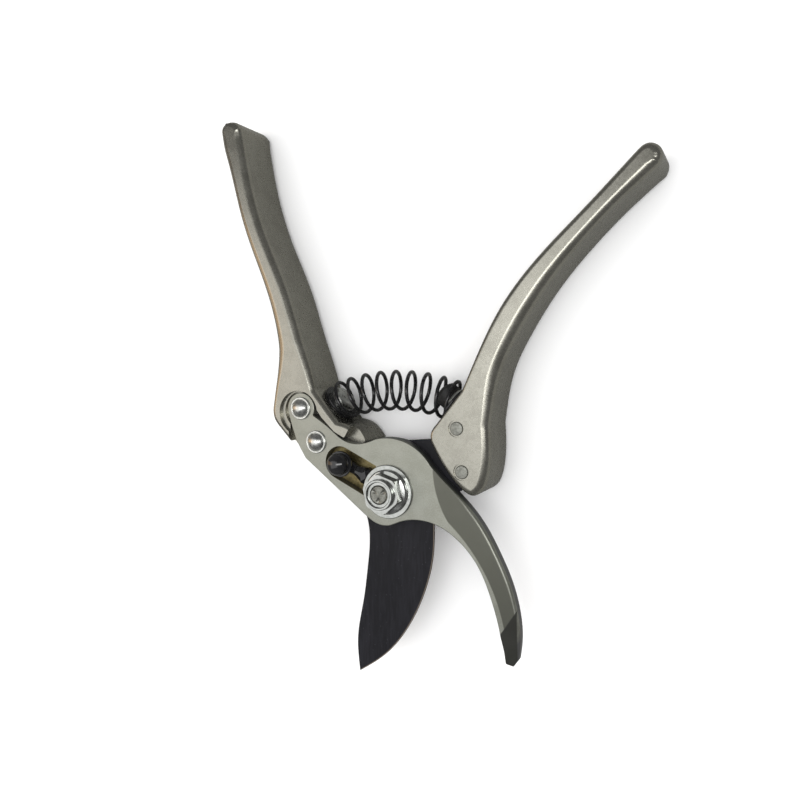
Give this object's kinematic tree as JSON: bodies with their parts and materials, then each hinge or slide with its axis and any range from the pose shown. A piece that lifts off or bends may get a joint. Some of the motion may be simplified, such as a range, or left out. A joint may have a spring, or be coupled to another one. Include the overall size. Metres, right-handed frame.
{
  "type": "pruning shears",
  "caption": "Hand-held bypass pruning shears held open by a coil spring: curved blade, hooked counter plate, two bare metal handles, sliding thumb lock and a flanged pivot nut.",
  "frame": {"origin": "On the pivot axis, at the back face of the pivot bolt's head.", "axes": "+Z along the pivot towards the nut (the front of the shears), +Y towards the handles, +X towards the blade's handle; the jaws point to -Y."},
  "size_m": [0.1514, 0.1923, 0.0275],
  "materials": {
    "plate_steel": "satin ground steel",
    "handle_nickel": "satin nickel plate with a fine orange peel",
    "blade_coating": "matt black non-stick coating on steel",
    "bright_chrome": "bright zinc or chrome plate",
    "rivet_steel": "peened steel",
    "track_brass": "yellow passivated strip",
    "lock_black": "gloss black",
    "spring_black": "gloss black on spring steel",
    "bumper_rubber": "black rubber"
  },
  "bodies": {
    "frame": {"hook_plate": "plate_steel", "hook_handle": "handle_nickel", "hook_rivet_upper": "bright_chrome", "hook_rivet_lower": "bright_chrome", "pivot_bolt": "bright_chrome", "pivot_washer": "bright_chrome", "pivot_nut": "bright_chrome", "lock_track": "track_brass", "left_seat_ring": "spring_black", "left_spring_peg": "bright_chrome", "return_spring": "spring_black"},
    "cutter": {"blade": "blade_coating", "blade_handle": "handle_nickel", "blade_rivet_upper": "rivet_steel", "blade_rivet_lower": "rivet_steel", "right_seat_ring": "spring_black", "right_spring_peg": "bright_chrome", "spring_bumper": "bumper_rubber"},
    "catch": {"lock_slide": "lock_black", "lock_knob": "lock_black", "lock_pin": "rivet_steel"}
  },
  "joints": [
    {"name": "blade_pivot", "type": "hinge", "parent": "frame", "child": "cutter", "pos_m": [0, 0, 0], "axis": [0, 0, 1], "range_deg": [0, 50], "stiffness_Nm_per_rad": 0.6, "springref_deg": -37.24, "deforming": ["return_spring"]},
    {"name": "lock_slide_joint", "type": "slide", "parent": "frame", "child": "catch", "axis": [-0.9063, 0.4226, 0], "range_m": [0, 0.003]}
  ]
}
